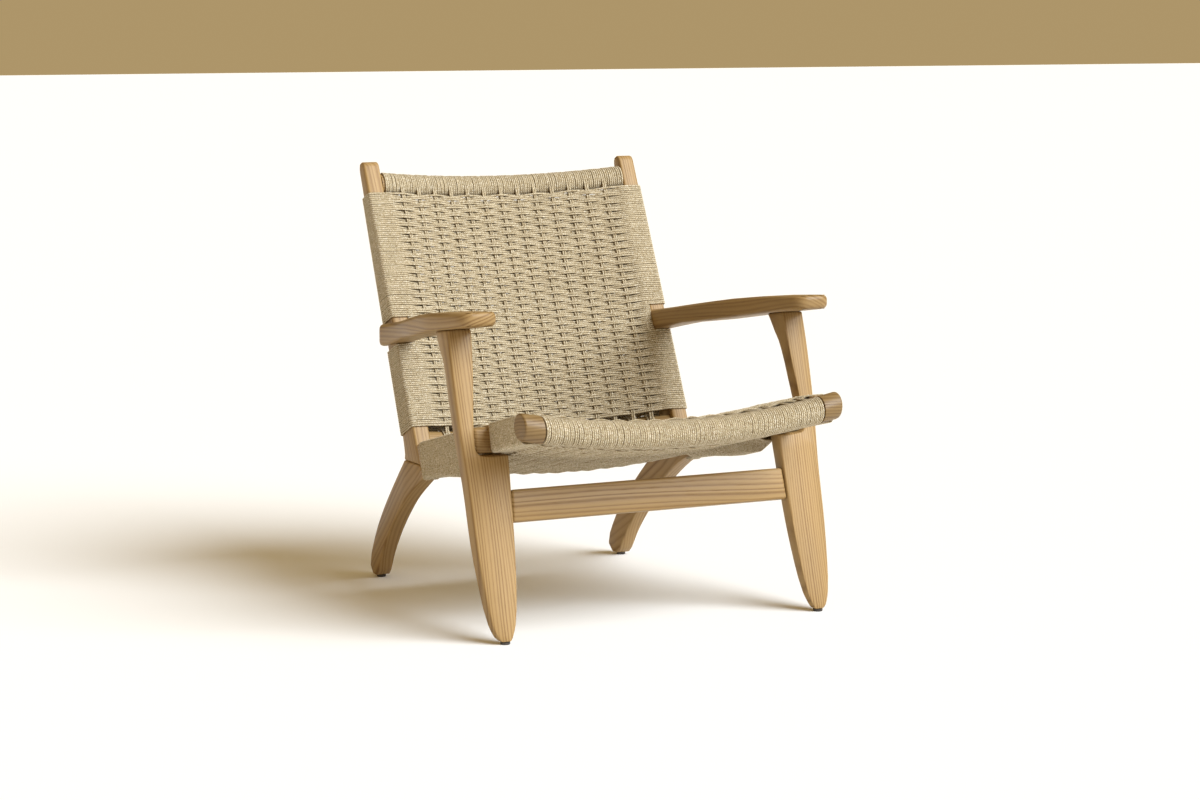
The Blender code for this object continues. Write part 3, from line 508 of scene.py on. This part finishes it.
def seat_warps(material):
    """Pairs of warps from the front rail to the rear rail, round both."""
    piece = CordPiece("seat_warp_cords", ["seat_weave_top"])
    front_round, rear_round = FRONT_CORE_RADIUS + RADIUS, REAR_RAIL_RADIUS + RADIUS
    for column in range(-SEAT_LAST, SEAT_LAST + 1):
        for twin in (-1.0, 1.0):
            def across(y):
                return column * seat_pitch(y) + twin * TWIN

            y = np.linspace(SEAT_FRONT_Y + 0.006, SEAT_REAR_Y - 0.012, 60)
            top = seat_points(across(y), y, seat_bow(across(y), y) - RADIUS + 0.0005)
            rear = ring_round(rear_rail_centre(across(REAR_RAIL_Y)), SEAT_BACKWARDS, SEAT_NORMAL,
                              rear_round, rear_round, 90.0, -90.0, 13)
            back = y[::-1]
            bottom = seat_points(across(back), back,
                                 under_layer(back) + seat_bow(across(back), back))
            front = ring_round(front_rail_centre(across(FRONT_RAIL_Y)), SEAT_BACKWARDS,
                               SEAT_NORMAL, front_round, front_round, -90.0, -270.0, 17)
            path = resample(np.concatenate((top, rear, bottom, front)), WARP_STEP)
            away = path - np.array((0.0, 0.0, SEAT_Z))
            depth = -(away @ SEAT_NORMAL)
            along = (away @ SEAT_BACKWARDS) * SEAT_BACKWARDS[1]
            woven = smooth_step(along, SEAT_FRONT_Y, SEAT_FRONT_Y + 0.006)
            woven = woven * smooth_step(-along, -SEAT_REAR_Y, -SEAT_REAR_Y + 0.006)
            middle = 0.5 * RAIL_HEIGHT + seat_bow(path[:, 0], along)
            face = np.where(depth < middle, -1.0, 1.0)
            parity = math.cos(math.pi * column)
            wave = row_wave(along, SEAT_FRONT_Y, SEAT_SPACING)
            shift = face * parity * WARP_SWING * woven * wave
            path = path + shift[:, None] * SEAT_NORMAL
            path[:, 0] += wander(len(path), WARP_WOBBLE, 5)
            piece.add(path, ACROSS)
    piece.build(material)


def rail_turns(name, node, centre, reach, pitch, last, axes, halves, material):
    """Side-by-side turns of cord round a rail; each column's two warps take two of the places."""
    piece = CordPiece(name, [node])
    spacing = pitch / FILLS
    for i in range(-int(reach / spacing), int(reach / spacing) + 1):
        x = (i + 0.5) * spacing
        column = round(x / pitch)
        if abs(column) <= last and abs(x - column * pitch) < spacing or abs(x) > reach:
            continue
        turn = ring_round(centre(x), axes[0], axes[1], halves[0] + RADIUS, halves[1] + RADIUS,
                          0.0, 345.0, TURN_POINTS)
        around = np.linspace(0.0, 2.0 * math.pi, TURN_POINTS, endpoint=False)
        turn[:, 0] += RNG.normal(0.0, 0.00022) * np.cos(around) + wander(TURN_POINTS, DEPTH_WOBBLE)
        swell = 1.0 + RNG.normal(0.0, 0.006)
        turn = centre(x) + (turn - centre(x)) * swell
        piece.add(turn, ACROSS)
    piece.build(material)


# ---- Materials -----------------------------------------------------------------------------------
EARLY_WOOD, LATE_WOOD, PORE = (0.380, 0.243, 0.098), (0.175, 0.085, 0.020), (0.130, 0.060, 0.016)


class Tree:
    """Short hand for building a material's nodes."""

    def __init__(self, name):
        self.material = bpy.data.materials.new(name)
        self.material.use_nodes = True
        self.nodes = self.material.node_tree.nodes
        self.links = self.material.node_tree.links
        self.shader = self.nodes["Principled BSDF"]

    def feed(self, value, socket):
        if isinstance(value, bpy.types.NodeSocket):
            self.links.new(value, socket)
        elif value is not None:
            socket.default_value = value

    def math(self, operation, a, b=None, clamp=False):
        node = self.nodes.new("ShaderNodeMath")
        node.operation = operation
        node.use_clamp = clamp
        for value, socket in zip((a, b), node.inputs):
            self.feed(value, socket)
        return node.outputs[0]

    def noise(self, vector, scale, detail=2.0, roughness=0.5):
        node = self.nodes.new("ShaderNodeTexNoise")
        self.feed(vector, node.inputs["Vector"])
        node.inputs["Scale"].default_value = scale
        node.inputs["Detail"].default_value = detail
        node.inputs["Roughness"].default_value = roughness
        return node.outputs["Fac"]

    def ramp(self, value, stops):
        node = self.nodes.new("ShaderNodeValToRGB")
        self.feed(value, node.inputs[0])
        elements = node.color_ramp.elements
        while len(elements) < len(stops):
            elements.new(0.5)
        for element, (place, colour) in zip(elements, stops):
            element.position = place
            element.color = (*colour, 1.0)
        return node.outputs[0]

    def range(self, value, low, high, to_low, to_high):
        node = self.nodes.new("ShaderNodeMapRange")
        self.feed(value, node.inputs["Value"])
        for key, number in (("From Min", low), ("From Max", high),
                            ("To Min", to_low), ("To Max", to_high)):
            node.inputs[key].default_value = number
        return node.outputs[0]

    def mix(self, factor, a, b, blend="MIX"):
        node = self.nodes.new("ShaderNodeMix")
        node.data_type = "RGBA"
        node.blend_type = blend
        self.feed(factor, node.inputs[0])
        self.feed(a if not isinstance(a, tuple) else (*a, 1.0), node.inputs[6])
        self.feed(b if not isinstance(b, tuple) else (*b, 1.0), node.inputs[7])
        return node.outputs[2]

    def combine(self, x, y, z):
        node = self.nodes.new("ShaderNodeCombineXYZ")
        for value, socket in zip((x, y, z), node.inputs):
            self.feed(value, socket)
        return node.outputs[0]

    def dot(self, vector, direction):
        node = self.nodes.new("ShaderNodeVectorMath")
        node.operation = "DOT_PRODUCT"
        self.feed(vector, node.inputs[0])
        node.inputs[1].default_value = tuple(direction)
        return node.outputs["Value"]

    def bump(self, height, distance):
        node = self.nodes.new("ShaderNodeBump")
        node.inputs["Distance"].default_value = distance
        node.inputs["Strength"].default_value = 1.0
        self.feed(height, node.inputs["Height"])
        self.links.new(node.outputs["Normal"], self.shader.inputs["Normal"])

    def place(self, kind):
        return self.nodes.new("ShaderNodeTexCoord").outputs[kind]


def cord_material():
    """Three-ply paper cord: pale, matt, with painted shade in the creases between the plies and where
    neighbouring cords touch.
    """
    tree = Tree("paper_cord")
    uv = tree.nodes.new("ShaderNodeSeparateXYZ")
    tree.links.new(tree.place("UV"), uv.inputs[0])
    turned = tree.math("MULTIPLY", tree.math("ADD", uv.outputs[0], uv.outputs[1]), 3.0)
    across_ply = tree.math("SUBTRACT", tree.math("MULTIPLY", tree.math("FRACT", turned), 2.0), 1.0)
    crown = tree.math("SUBTRACT", 1.0, tree.math("MULTIPLY", across_ply, across_ply))
    here = tree.place("Object")
    fibre = tree.noise(here, 900.0, 3.0, 0.65)
    patch = tree.noise(here, 95.0, 3.0, 0.6)
    along = tree.noise(tree.combine(0.0, tree.math("MULTIPLY", uv.outputs[1], 0.35), 0.0), 1.0, 2.0)
    pale, middle, ply_crease_shade = (0.530, 0.450, 0.308), (0.430, 0.345, 0.205), (0.180, 0.115, 0.038)
    straw, brown, cream = (0.380, 0.280, 0.135), (0.170, 0.105, 0.032), (0.760, 0.695, 0.560)
    contact_shade = (0.160, 0.100, 0.032)
    # Painted shade: the colour runs from dark in the crease between plies, where shade falls, through
    # middle to pale on each ply's crown.
    colour = tree.ramp(crown, ((0.0, ply_crease_shade), (0.26, middle), (0.62, pale)))
    speck = tree.noise(here, 430.0, 2.0, 0.6)
    colour = tree.mix(tree.range(fibre, 0.40, 0.72, 0.0, 0.50), colour, straw)
    colour = tree.mix(tree.range(speck, 0.56, 0.68, 0.0, 0.85), colour, brown)
    colour = tree.mix(tree.range(speck, 0.46, 0.34, 0.0, 0.80), colour, cream)
    # Painted shade along the two sides of each cord that press against its neighbours, where shade
    # falls between cords.
    beside = tree.math("ABSOLUTE", tree.math("COSINE", tree.math("MULTIPLY", uv.outputs[0],
                                                                 2.0 * math.pi)))
    colour = tree.mix(tree.range(beside, 0.72, 1.0, 0.0, 0.60), colour, contact_shade)
    tone = tree.math("ADD", tree.range(along, 0.3, 0.7, -0.06, 0.06),
                     tree.range(patch, 0.3, 0.7, 0.92, 1.07))
    colour = tree.mix(1.0, colour, tree.combine(tone, tone, tone), "MULTIPLY")
    tree.links.new(colour, tree.shader.inputs["Base Color"])
    tree.links.new(tree.range(fibre, 0.3, 0.7, 0.74, 0.92), tree.shader.inputs["Roughness"])
    tree.shader.inputs["Specular IOR Level"].default_value = 0.28
    tree.shader.inputs["Sheen Weight"].default_value = 0.12
    height = tree.math("ADD", tree.math("MULTIPLY", crown, 0.8), tree.math("MULTIPLY", fibre, 0.35))
    tree.bump(height, 0.00045)
    return tree.material


def ash(name, grain, face, offset, ring, pith, depth):
    """Oiled ash. grain is the way the fibres run and face the way the growth rings stack.

    offset shifts the pattern from piece to piece, ring is the width of a year's growth, pith the
    distance to the tree's middle, and depth below 1 darkens the colour.
    """
    grain = Vector(grain).normalized()
    face = (Vector(face) - grain * Vector(face).dot(grain)).normalized()
    edge = grain.cross(face)
    tree = Tree(name)
    here = tree.place("Object")
    along = tree.math("ADD", tree.dot(here, grain), offset)
    stack = tree.math("ADD", tree.dot(here, face), offset * 0.13)
    beside = tree.dot(here, edge)
    slow = tree.noise(tree.combine(tree.math("MULTIPLY", stack, 7.0),
                                   tree.math("MULTIPLY", beside, 7.0),
                                   tree.math("MULTIPLY", along, 1.6)), 1.0, 2.0)
    radius = tree.math("SQRT", tree.math("ADD", tree.math("POWER", tree.math("ADD", stack, pith), 2.0),
                                         tree.math("POWER", beside, 2.0)))
    radius = tree.math("ADD", radius, tree.math("MULTIPLY", slow, 0.030))
    radius = tree.math("ADD", radius, tree.math("MULTIPLY", along, 0.012))
    uneven = tree.noise(tree.combine(tree.math("MULTIPLY", radius, 90.0), 0.0, 0.0), 1.0, 1.0)
    rings = tree.math("ADD", tree.math("DIVIDE", radius, ring), tree.math("MULTIPLY", uneven, 1.6))
    share = tree.math("FRACT", rings)
    line = tree.ramp(share, ((0.0, (1.0, 1.0, 1.0)), (0.16, (0.70, 0.70, 0.70)),
                             (0.38, (0.10, 0.10, 0.10)), (0.66, (0.0, 0.0, 0.0)),
                             (0.88, (0.40, 0.40, 0.40)), (1.0, (1.0, 1.0, 1.0))))
    strength = tree.range(tree.noise(tree.combine(tree.math("MULTIPLY", radius, 40.0), 7.0, 0.0),
                                     1.0, 1.0), 0.3, 0.7, 0.35, 1.0)
    line = tree.math("MULTIPLY", line, strength)
    fibres = tree.noise(tree.combine(tree.math("MULTIPLY", stack, 1500.0),
                                     tree.math("MULTIPLY", beside, 1500.0),
                                     tree.math("MULTIPLY", along, 42.0)), 1.0, 3.0, 0.6)
    pores = tree.range(fibres, 0.56, 0.70, 0.0, 1.0)
    pores = tree.math("MULTIPLY", pores, tree.range(line, 0.0, 0.8, 0.18, 1.0), clamp=True)
    cloud = tree.noise(tree.combine(tree.math("MULTIPLY", stack, 18.0),
                                    tree.math("MULTIPLY", beside, 18.0),
                                    tree.math("MULTIPLY", along, 4.0)), 1.0, 3.0)
    early = tuple(channel * depth for channel in EARLY_WOOD)
    late = tuple(channel * depth for channel in LATE_WOOD)
    colour = tree.mix(tree.math("MULTIPLY", line, 0.90), early, late)
    colour = tree.mix(tree.math("MULTIPLY", pores, 0.50), colour, PORE)
    tone = tree.math("ADD", tree.range(cloud, 0.3, 0.7, 0.91, 1.07),
                     tree.range(fibres, 0.3, 0.7, 0.03, -0.03))
    colour = tree.mix(1.0, colour, tree.combine(tone, tone, tone), "MULTIPLY")
    tree.links.new(colour, tree.shader.inputs["Base Color"])
    tree.links.new(tree.range(cloud, 0.3, 0.7, 0.40, 0.50), tree.shader.inputs["Roughness"])
    tree.shader.inputs["Specular IOR Level"].default_value = 0.35
    height = tree.math("SUBTRACT", 0.0, tree.math("ADD", tree.math("MULTIPLY", pores, 0.6),
                                                  tree.math("MULTIPLY", line, 0.4)))
    tree.bump(height, 0.00022)
    return tree.material


def plastic_material():
    """Dark moulded glide, finely pitted and scuffed."""
    tree = Tree("glide_plastic")
    here = tree.place("Object")
    speckle = tree.noise(here, 2600.0, 2.0)
    scuff = tree.noise(here, 260.0, 3.0, 0.6)
    tree.links.new(tree.ramp(scuff, ((0.35, (0.030, 0.024, 0.019)), (0.65, (0.055, 0.045, 0.037)))),
                   tree.shader.inputs["Base Color"])
    tree.links.new(tree.range(scuff, 0.3, 0.7, 0.42, 0.62), tree.shader.inputs["Roughness"])
    tree.bump(speckle, 0.00008)
    return tree.material


def steel_material():
    """Plain drawn nail."""
    tree = Tree("nail_steel")
    here = tree.place("Object")
    drawn = tree.noise(here, 1800.0, 2.0)
    tree.links.new(tree.ramp(drawn, ((0.3, (0.46, 0.46, 0.47)), (0.7, (0.60, 0.60, 0.60)))),
                   tree.shader.inputs["Base Color"])
    tree.links.new(tree.range(drawn, 0.3, 0.7, 0.28, 0.42), tree.shader.inputs["Roughness"])
    tree.shader.inputs["Metallic"].default_value = 1.0
    return tree.material


# ---- Wood ----------------------------------------------------------------------------------------
SHARP_ANGLE = math.radians(48.0)
LEG_LEAN = 0.2663              # how far the front leg leans back for each metre up


def smoothing():
    """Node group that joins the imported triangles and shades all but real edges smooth."""
    group = bpy.data.node_groups.new("smooth_surface", "GeometryNodeTree")
    group.interface.new_socket("Geometry", in_out="INPUT", socket_type="NodeSocketGeometry")
    group.interface.new_socket("Geometry", in_out="OUTPUT", socket_type="NodeSocketGeometry")
    nodes, links = group.nodes, group.links
    start, end = nodes.new("NodeGroupInput"), nodes.new("NodeGroupOutput")
    plain = nodes.new("GeometryNodeRemoveAttribute")
    plain.inputs["Name"].default_value = "custom_normal"
    merge = nodes.new("GeometryNodeMergeByDistance")
    merge.inputs["Distance"].default_value = 0.00001
    faces = nodes.new("GeometryNodeSetShadeSmooth")
    faces.domain = "FACE"
    edges = nodes.new("GeometryNodeSetShadeSmooth")
    edges.domain = "EDGE"
    edges.inputs["Shade Smooth"].default_value = False
    angle = nodes.new("GeometryNodeInputMeshEdgeAngle")
    sharp = nodes.new("FunctionNodeCompare")
    sharp.data_type = "FLOAT"
    sharp.operation = "GREATER_THAN"
    sharp.inputs[1].default_value = SHARP_ANGLE
    for a, b in ((start.outputs[0], plain.inputs["Geometry"]),
                 (plain.outputs[0], merge.inputs["Geometry"]),
                 (merge.outputs[0], faces.inputs["Geometry"]),
                 (faces.outputs[0], edges.inputs["Geometry"]),
                 (angle.outputs["Unsigned Angle"], sharp.inputs[0]),
                 (sharp.outputs[0], edges.inputs["Selection"]),
                 (edges.outputs[0], end.inputs[0])):
        links.new(a, b)
    return group


def dress_wood():
    """Each wooden piece gets ash cut its own way; every one is shaded smooth."""
    up_leg = (0.0, LEG_LEAN, 1.0)
    back_up = tuple(UP_BACK)
    # grain, face, ring, pith and depth of each kind of piece
    cuts = {
        "front_leg": (up_leg, (1.0, 0.25, 0.0), 0.0047, 0.20, 1.0),
        "rear_leg": ((0.0, 0.80, -0.55), (1.0, 0.15, 0.3), 0.0056, 0.15, 0.92),
        "back_stile": (back_up, (1.0, 0.5, 0.0), 0.0050, 0.18, 1.0),
        "armrest": ((-0.06, 1.0, -0.14), (0.25, 0.0, 1.0), 0.0064, 0.11, 0.90),
        "seat_side_rail": ((0.0, 1.0, -SEAT_SLOPE), (0.2, 0.0, 1.0), 0.0050, 0.15, 0.95),
        "seat_front_rail": ((1.0, 0.0, 0.0), (0.0, 0.6, 1.0), 0.0056, 0.05, 0.66),
        "seat_rear_rail": ((1.0, 0.0, 0.0), (0.0, 0.6, 1.0), 0.0050, 0.10, 0.90),
        "back_top_rail": ((1.0, 0.0, 0.0), (0.0, 0.6, 1.0), 0.0050, 0.10, 0.90),
        "back_bottom_rail": ((1.0, 0.0, 0.0), (0.0, 0.4, 1.0), 0.0050, 0.10, 0.85),
        "front_stretcher": ((1.0, 0.0, 0.0), (0.0, -0.2, 1.0), 0.0066, 0.14, 0.96),
        "leg_dowel": ((1.0, 0.0, 0.0), (0.0, 0.0, 1.0), 0.0030, 0.05, 1.0),
        "rear_leg_dowel": ((0.0, 0.0, 1.0), (1.0, 0.0, 0.0), 0.0030, 0.05, 1.0),
        "stile_dowel": ((0.0, 0.4, 1.0), (1.0, 0.0, 0.0), 0.0030, 0.05, 1.0),
        "arm_dowel": ((1.0, 0.0, 0.0), (0.0, 0.0, 1.0), 0.0030, 0.05, 1.0),
    }
    group = smoothing()
    for number, name in enumerate(sorted(NODES)):
        node = NODES[name]
        kind = next((k for k in sorted(cuts, key=len, reverse=True) if name.startswith(k)), None)
        if kind:
            grain, face, ring, pith, depth = cuts[kind]
            material = ash("ash_" + name, grain, face, 0.37 * number, ring, pith, depth)
            node.data.materials.clear()
            node.data.materials.append(material)
        modifier = node.modifiers.new("smooth_surface", "NODES")
        modifier.node_group = group


def dress_feet():
    plastic, steel = plastic_material(), steel_material()
    for name, node in NODES.items():
        if name.startswith("glide"):
            node.data.materials.clear()
            node.data.materials.append(plastic if name.endswith("pad") else steel)


# ---- Studio --------------------------------------------------------------------------------------
FLOOR_HALF = 40.0
FLOOR_COLOUR = (0.90, 0.90, 0.90, 1.0)
WORLD_COLOUR, WORLD_STRENGTH = (1.0, 0.72, 0.34, 1.0), 0.42
SUN_FROM = (0.45, -0.65, 0.61)
SUN_ENERGY, SUN_ANGLE, SUN_COLOUR = 5.0, math.radians(45.0), (0.88, 0.94, 1.0)
CAMERA_PLACE = (-2.268, -4.188 - FRONT_TOE_TO_ORIGIN, 0.997)
CAMERA_DOWN, CAMERA_TURN = 7.486, 27.214         # degrees below level, and from straight back
CAMERA_SENSOR, CAMERA_LENS = 36.0, 89.24         # millimetres
CAMERA_REACH = 200.0


def studio():
    scene = bpy.context.scene
    corners = [(x * FLOOR_HALF, y * FLOOR_HALF, 0.0)
               for x, y in ((-1.0, -1.0), (1.0, -1.0), (1.0, 1.0), (-1.0, 1.0))]
    mesh = bpy.data.meshes.new("floor")
    mesh.from_pydata(corners, [], [(0, 1, 2, 3)])
    floor = bpy.data.objects.new("floor", mesh)
    scene.collection.objects.link(floor)
    tree = Tree("pale_floor")
    tree.shader.inputs["Base Color"].default_value = FLOOR_COLOUR
    tree.shader.inputs["Roughness"].default_value = 0.9
    tree.shader.inputs["Specular IOR Level"].default_value = 0.1
    mesh.materials.append(tree.material)

    world = bpy.data.worlds.new("studio")
    world.use_nodes = True
    world.node_tree.nodes["Background"].inputs["Color"].default_value = WORLD_COLOUR
    world.node_tree.nodes["Background"].inputs["Strength"].default_value = WORLD_STRENGTH
    scene.world = world
    sun = bpy.data.lights.new("key", "SUN")
    sun.energy = SUN_ENERGY
    sun.angle = SUN_ANGLE
    sun.color = SUN_COLOUR
    key = bpy.data.objects.new("key", sun)
    key.rotation_euler = Vector(SUN_FROM).to_track_quat("Z", "Y").to_euler()
    scene.collection.objects.link(key)
    scene.view_settings.view_transform = "Standard"

    camera = bpy.data.cameras.new("camera")
    camera.sensor_width = CAMERA_SENSOR
    camera.lens = CAMERA_LENS
    camera.clip_end = CAMERA_REACH
    item = bpy.data.objects.new("camera", camera)
    item.location = CAMERA_PLACE
    item.rotation_euler = Euler((math.radians(90.0 - CAMERA_DOWN), 0.0,
                                 math.radians(-CAMERA_TURN)))
    scene.collection.objects.link(item)
    scene.camera = item


def main():
    cord = cord_material()
    dress_wood()
    dress_feet()
    back_wefts(cord)
    back_warps(cord)
    seat_wefts(cord)
    seat_warps(cord)
    rail_turns("top_rail_cords", "top_rail_wrap", top_rail_centre, TOP_WRAP_END,
               PITCH, BACK_LAST, (BACK_NORMAL, UP_BACK),
               (TOP_RAIL_HALF_DEPTH, TOP_RAIL_HALF_HEIGHT), cord)
    rail_turns("front_rail_cords", "front_rail_wrap", front_rail_centre, FRONT_WRAP_END - RADIUS,
               seat_pitch(FRONT_RAIL_Y), SEAT_LAST, (BACKWARDS, UP),
               (FRONT_CORE_RADIUS, FRONT_CORE_RADIUS), cord)
    rail_turns("rear_rail_cords", "rear_rail_wrap", rear_rail_centre, REAR_WRAP_END,
               seat_pitch(REAR_RAIL_Y), SEAT_LAST, (BACKWARDS, UP),
               (REAR_RAIL_RADIUS, REAR_RAIL_RADIUS), cord)
    studio()


main()
